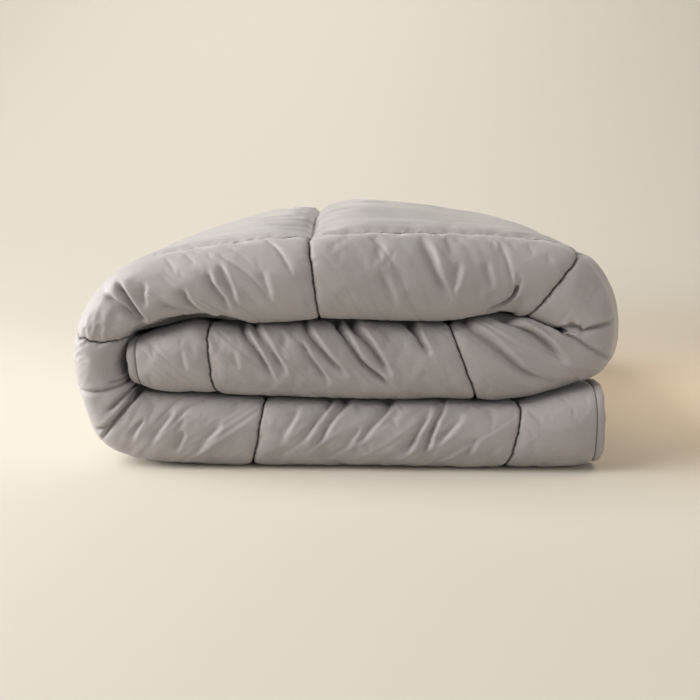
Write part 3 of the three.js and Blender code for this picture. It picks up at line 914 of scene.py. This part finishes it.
def broad_part(u, v, moves, cell=50):
    """What moves neighbouring points alike, averaged over cells of the flat cloth."""
    a, b = u / cell, (v + WIDTH / 2) / cell
    i, j = a.astype(int), b.astype(int)
    s, t = a - i, b - j
    corners = [
        (i, j, (1 - s) * (1 - t)), (i + 1, j, s * (1 - t)),
        (i, j + 1, (1 - s) * t), (i + 1, j + 1, s * t),
    ]
    counted = np.column_stack([moves, np.ones(len(u))])
    total = np.zeros((60, 60, 4))
    for ci, cj, share in corners:
        np.add.at(total, (ci, cj), share[:, None] * counted)
    mean = total[..., :3] / np.maximum(total[..., 3:], 1e-9)
    return sum(share[:, None] * mean[ci, cj] for ci, cj, share in corners)


def press(points, rest, faces, held):
    """Points after the filling has pressed them out, by Blender's cloth."""
    mesh = bpy.data.meshes.new("pressed")
    mesh.from_pydata([tuple(p / 1000) for p in points], [], faces)
    body = bpy.data.objects.new("pressed", mesh)
    bpy.context.scene.collection.objects.link(body)
    group = body.vertex_groups.new(name="held")
    for weight in np.unique(np.round(held, 2)):
        group.add(np.flatnonzero(np.round(held, 2) == weight).tolist(), float(weight), "REPLACE")
    body.shape_key_add(name="basis")
    key = body.shape_key_add(name="rest")
    key.data.foreach_set("co", (rest / 1000).ravel())
    cloth = body.modifiers.new("cloth", "CLOTH")
    settings = cloth.settings
    settings.rest_shape_key = key
    settings.vertex_group_mass = "held"
    settings.pin_stiffness = 1.0
    settings.quality = 5
    settings.mass = 0.15
    settings.tension_stiffness = 15
    settings.compression_stiffness = 15
    settings.shear_stiffness = 5
    settings.bending_stiffness = 0.5
    settings.use_pressure = True
    settings.uniform_pressure_force = PRESSURE
    settings.shrink_min = -EASE
    settings.effector_weights.gravity = 0
    cloth.collision_settings.use_collision = False
    cloth.collision_settings.use_self_collision = False
    cloth.point_cache.frame_start = 1
    cloth.point_cache.frame_end = FRAMES
    for number in range(1, FRAMES + 1):
        bpy.context.scene.frame_set(number)
    shaped = body.evaluated_get(bpy.context.evaluated_depsgraph_get()).data
    moved = np.zeros(len(points) * 3)
    shaped.vertices.foreach_get("co", moved)
    bpy.context.scene.frame_set(1)
    bpy.data.objects.remove(body)
    return moved.reshape(-1, 3) * 1000


def renumbered(faces, kept):
    """Faces whose points are counted among the kept points alone."""
    new_index = np.cumsum(kept) - 1
    return [tuple(int(new_index[i]) for i in f) for f in faces]


seen = (v > 0) & (v <= TOP_BACK) & (u > TOP_FROM) & (u < TOP_TO)
seen |= np.abs(v) <= FRONT_HALF
rim = np.zeros(len(outer_flat), bool)
seen_faces = []
for f in outer_faces:
    if all(seen[i] for i in f):
        seen_faces.append(f)
    else:
        rim[list(f)] = True
seen_faces = renumbered(seen_faces, seen)
held = np.maximum(held_places(u, v), rim)
rest = sheared(outer_points, u, v)
pressed = press(outer_points[seen], rest[seen], seen_faces, held[seen])
move = pressed - outer_points[seen]
move -= broad_part(u[seen], v[seen], move) * (1 - rim[seen])[:, None]
move *= blend(np.minimum(u, LENGTH - u)[seen], 0, 25)[:, None]
far = np.linalg.norm(move, axis=1)
move *= np.minimum(1, MOST / np.maximum(far, 1e-6))[:, None]
outer_points[seen] += move
outer_points += outward * crease_shape(smooth_points, u, v, sharp=True)[:, None]
outer_points -= outward * stitch_groove(u, v)[:, None]


def in_frame(points):
    """From the folded cloth's own millimetres to the frame's metres."""
    return (np.asarray(points) - (PILE_MIDDLE[0], PILE_MIDDLE[1], 0)) / 1000


THREAD_PITCH = 0.0009  # the slight ribs of the weave
SHELL_GREY = (0.386, 0.363, 0.364)
SHELL_SHADE = (0.262, 0.243, 0.245)
CHANNEL_SHADE = (0.10, 0.093, 0.092)  # painted shade deep in the stitched channels, where little light comes
CHANNEL_WIDTH = 0.0003  # half of what has the full shade
CHANNEL_REACH = 0.0022  # where the shade ends beside the seams across
LONG_CHANNEL_REACH = 0.0026  # and beside the seams along
GATHERS_REACH = 0.0048  # and beside the gathered seam on top
GATHERS_END = (0.29, 0.31)  # along the cloth from its middle, where that one ends
BOXES_END = ((LENGTH / 2 - BORDER) / 1000, (WIDTH / 2 - BORDER) / 1000)  # from the middle


def on_cloth(finish, scale):
    """The place on the flat cloth, in metres, stretched by a scale for each way."""
    place = finish.add("ShaderNodeUVMap", {"uv_map": "flat_cloth"}, {})
    settings = {"operation": "MULTIPLY"}
    return finish.add("ShaderNodeVectorMath", settings, {0: place, 1: (*scale, 1)})


def noise_of(finish, scale, detail=2.0, roughness=0.5):
    """Noise from 0 to 1 on the flat cloth."""
    inputs = {"Vector": on_cloth(finish, scale), "Scale": 1.0}
    inputs |= {"Detail": detail, "Roughness": roughness}
    return finish.add("ShaderNodeTexNoise", {}, inputs)


def near_line(value, first, apart, reach):
    """How strongly the painted channel shade falls: 1 on evenly spaced lines of stitching, fading
    to 0 at reach from them.
    """
    turn = value.maths("FRACT", (value - first) / apart + 0.5, 0)
    return 1 - between(abs(turn - 0.5) * apart, CHANNEL_WIDTH, reach)


shell = Finish("brushed_microfibre", roughness=0.5, sheen=0.25, sheen_roughness=0.4)
flat_place = on_cloth(shell, (1, 1))
along_cloth = shell.add("ShaderNodeSeparateXYZ", {}, {0: flat_place}, "X")
across_cloth = shell.add("ShaderNodeSeparateXYZ", {}, {0: flat_place}, "Y")
from_middle = abs(along_cloth - LENGTH / 2000)
boxed = 1 - between(abs(across_cloth), BOXES_END[1] + 0.0015, BOXES_END[1] + 0.003)
boxed = boxed * (1 - between(from_middle, BOXES_END[0] + 0.0015, BOXES_END[0] + 0.003))
# Painted shade along the stitched channels across and along the cloth, wider beside the gathered
# seam on top, inside the boxes only.
crosswise = near_line(along_cloth, BORDER / 1000, BOX_LENGTH / 1000, CHANNEL_REACH)
first_seam = SEAMS_ALONG[0] / 1000
lengthwise = near_line(across_cloth, first_seam, BOX_WIDTH / 1000, LONG_CHANNEL_REACH)
painted_channel_shade = crosswise.maths("MAXIMUM", crosswise, lengthwise)
gathers_shade = 1 - between(abs(across_cloth - first_seam), CHANNEL_WIDTH, GATHERS_REACH)
gathers_shade = gathers_shade * (1 - between(from_middle, *GATHERS_END))
painted_channel_shade = painted_channel_shade.maths("MAXIMUM", painted_channel_shade, gathers_shade) * boxed
warp = noise_of(shell, (1 / THREAD_PITCH, 0.12 / THREAD_PITCH))
weft = noise_of(shell, (0.12 / THREAD_PITCH, 1 / THREAD_PITCH))
weave = warp + weft
nap = noise_of(shell, (28, 28), 4.0, 0.6)
shade = 0.22 * between(nap, 0.35, 0.75) + 0.14 * between(weave, 0.8, 1.2)
colour = shell.add("ShaderNodeMix", mix, {0: shade, 6: (*SHELL_GREY, 1), 7: (*SHELL_SHADE, 1)}, 2)
# The painted channel shade is stronger in some places than in others.
uneven = noise_of(shell, (140, 140), 2.0, 0.6)
painted_channel_shade = painted_channel_shade * (0.45 + 0.6 * between(uneven, 0.3, 0.6))
colour = shell.add("ShaderNodeMix", mix, {0: painted_channel_shade, 6: colour, 7: (*CHANNEL_SHADE, 1)}, 2)
shell.feed("Base Color", colour)
shell.feed("Roughness", 0.46 + 0.12 * nap)
bump = {"Height": weave * 0.5 + 0.35 * nap, "Strength": 0.5, "Distance": 0.0004}
shell.feed("Normal", shell.add("ShaderNodeBump", {}, bump))

all_points = np.vstack([outer_points, inner_points])
all_flat = np.vstack([outer_flat, inner_flat])
for name, faces in (("outer_shell", outer_faces), ("inner_shell", inside_faces)):
    used = np.zeros(len(all_points), bool)
    used[[i for f in faces for i in f]] = True
    points = in_frame(all_points[used])
    faces = renumbered(faces, used)
    piece = mesh_piece(name, points, faces, shell.material, all_flat[used] / 1000)
    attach(piece, "root")
    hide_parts("comforter")

# The piping
# A strip of the same cloth folded over the raw edge of both panels, all the way round, and
# sewn through them. It stands out a little and gathers slightly at the rounded corners.
PIPING_WIDTH = 11.0
PIPING_START = 0.9  # beyond the panels' edges
PIPING_SIDES = 15
PIPING_STEP = 8.0
PIPING_FRONT_STEP = 2.5  # along the two ends, where they come to the front
PIPING_FRONT_HALF = 95.0
CORNER_GATHERS = 1.2  # it stands out this many times as far at the corners
PIPING_GREY = (0.373, 0.349, 0.351)


def edge_walk():
    """The places round the edge of the flat cloth, closest where the front shows."""
    half = WIDTH / 2
    us = np.arange(0, LENGTH, PIPING_STEP)
    vs = np.concatenate([
        np.arange(-half, -PIPING_FRONT_HALF, PIPING_STEP),
        np.arange(-PIPING_FRONT_HALF, PIPING_FRONT_HALF, PIPING_FRONT_STEP),
        np.arange(PIPING_FRONT_HALF, half, PIPING_STEP),
    ])
    sides = [
        np.stack([us, np.full(len(us), -half)], -1),
        np.stack([np.full(len(vs), LENGTH), vs], -1),
        np.stack([LENGTH - us, np.full(len(us), half)], -1),
        np.stack([np.zeros(len(vs)), -vs], -1),
    ]
    return np.vstack(sides)


def between_rings(first, second, sides):
    """The faces of a tube between two rings, by the number of each one's first point."""
    ahead = [(k, (k + 1) % sides) for k in range(sides)]
    return [(first + a, first + b, second + b, second + a) for a, b in ahead]


walk = edge_walk()
edge_u, edge_v = walk.T
edge_outer, edge_inner, edge_middle = layer(edge_u, edge_v)
at_end = (edge_u == 0) | (edge_u == LENGTH)
at_side = np.abs(edge_v) == WIDTH / 2
inside_u = np.where(at_end, np.clip(edge_u, 12, LENGTH - 12), edge_u)
inside_v = np.where(at_side, edge_v - np.sign(edge_v) * 12, edge_v)
outwards = edge_middle - layer(inside_u, inside_v)[2]
outwards /= np.linalg.norm(outwards, axis=1)[:, None]
walked = np.concatenate([[0], np.cumsum(np.linalg.norm(np.diff(edge_middle, axis=0), axis=1))])
gathers = 1 + 0.07 * soft_noise(walked / 9, walked * 0, 7)
gathers += 0.05 * soft_noise(walked / 31, walked * 0, 8)
gathers *= np.where(at_end & at_side, CORNER_GATHERS, 1)
rings = []
for turn in np.linspace(0, np.pi, PIPING_SIDES):
    across = 0.5 - 0.54 * np.cos(turn)
    reach = PIPING_START + PIPING_WIDTH * np.sin(turn) ** 0.75 * gathers
    rings.append(edge_inner + (edge_outer - edge_inner) * across + outwards * reach[:, None])
piping_points = np.stack(rings, 1).reshape(-1, 3)
count = len(walk)
piping_faces = []
for i in range(count):
    ahead = (i + 1) % count
    piping_faces += between_rings(i * PIPING_SIDES, ahead * PIPING_SIDES, PIPING_SIDES)
piping_flat = np.repeat(walk, PIPING_SIDES, axis=0) / 1000
piping_flat[:, 1] += np.tile(np.arange(PIPING_SIDES) * 0.0015, count)

binding = Finish("folded_microfibre", roughness=0.5, sheen=0.25, sheen_roughness=0.4)
binding_nap = noise_of(binding, (45, 45), 4.0, 0.6)
binding_weave = noise_of(binding, (1 / THREAD_PITCH, 0.2 / THREAD_PITCH))
binding_shade = 0.3 * between(binding_nap, 0.35, 0.75) + 0.15 * binding_weave
inputs = {0: binding_shade, 6: (*PIPING_GREY, 1), 7: (*SHELL_SHADE, 1)}
binding.feed("Base Color", binding.add("ShaderNodeMix", mix, inputs, 2))
binding.feed("Roughness", 0.46 + 0.12 * binding_nap)
bump = {"Height": binding_weave + 0.5 * binding_nap, "Strength": 0.5, "Distance": 0.0004}
binding.feed("Normal", binding.add("ShaderNodeBump", {}, bump))
piping = mesh_piece("piping", in_frame(piping_points), piping_faces, binding.material, piping_flat)
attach(piping, "root")
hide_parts("edge_piping")

# The stitching
# Polyester thread of the cloth's own colour, sewn right through both panels and the filling in
# short stitches. It lies in the bottom of the channels.
STITCH_LENGTH = 2.6
STITCH_PITCH = 3.6
STITCH_RISE = (-0.5, 0.25, 0.25, -0.5)  # how far each of its rings stands out of the cloth
THREAD_RADIUS = 0.32
THREAD_SIDES = 5
THREAD_GREY = (0.30, 0.285, 0.28)


def stitches(line, up):
    """The points of the stitches along a line on the cloth, and how many stitches it has."""
    steps = np.linalg.norm(np.diff(line, axis=0), axis=1)
    along = np.concatenate([[0], np.cumsum(steps)])
    starts = np.arange(2, along[-1] - STITCH_PITCH, STITCH_PITCH)
    distance = starts[:, None] + np.array([0, 0.2, 0.8, 1]) * STITCH_LENGTH
    centre = np.stack([np.interp(distance, along, line[:, k]) for k in range(3)], -1)
    out = np.stack([np.interp(distance, along, up[:, k]) for k in range(3)], -1)
    out /= np.linalg.norm(out, axis=2)[:, :, None]
    centre = centre + out * np.array(STITCH_RISE)[:, None]
    way = np.gradient(centre, axis=1)
    way /= np.linalg.norm(way, axis=2)[:, :, None]
    side = np.cross(way, out)
    turns = np.arange(THREAD_SIDES) / THREAD_SIDES * 2 * np.pi
    ring = out[:, :, None] * np.cos(turns)[:, None] + side[:, :, None] * np.sin(turns)[:, None]
    return (centre[:, :, None] + ring * THREAD_RADIUS).reshape(-1, 3), len(starts)


seam_lines = []
for seam in SEAMS_ACROSS:
    back = SEAMS_ALONG[-1] + 0.5 if 600 < seam < 1400 else CREASED_HALF
    row = (np.abs(u - seam) < 0.01) & (v > -CREASED_HALF) & (v < back)
    seam_lines.append(np.flatnonzero(row)[np.argsort(v[row])])
for seam in SEAMS_ALONG:
    row = (np.abs(v - seam) < 0.01) & (u > 500) & (u < 1580)
    seam_lines.append(np.flatnonzero(row)[np.argsort(u[row])])
thread_points, thread_faces = [], []
for line in seam_lines:
    points, number = stitches(outer_points[line], outward[line])
    start = sum(len(p) for p in thread_points)
    for n in range(number):
        rings = [start + (4 * n + r) * THREAD_SIDES for r in range(4)]
        for first, second in zip(rings, rings[1:]):
            thread_faces += between_rings(first, second, THREAD_SIDES)
        thread_faces.append(tuple(rings[0] + k for k in reversed(range(THREAD_SIDES))))
        thread_faces.append(tuple(rings[3] + k for k in range(THREAD_SIDES)))
    thread_points.append(points)
thread_points = np.vstack(thread_points)
thread = Finish("polyester_thread", roughness=0.45, sheen=0.1)
twist = thread.add("ShaderNodeTexNoise", {}, {"Scale": 900.0, "Detail": 1.0})
inputs = {0: twist, 6: (*THREAD_GREY, 1), 7: (*SHELL_GREY, 1)}
thread.feed("Base Color", thread.add("ShaderNodeMix", mix, inputs, 2))
stitching = mesh_piece("stitching", in_frame(thread_points), thread_faces, thread.material)
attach(stitching, "root")
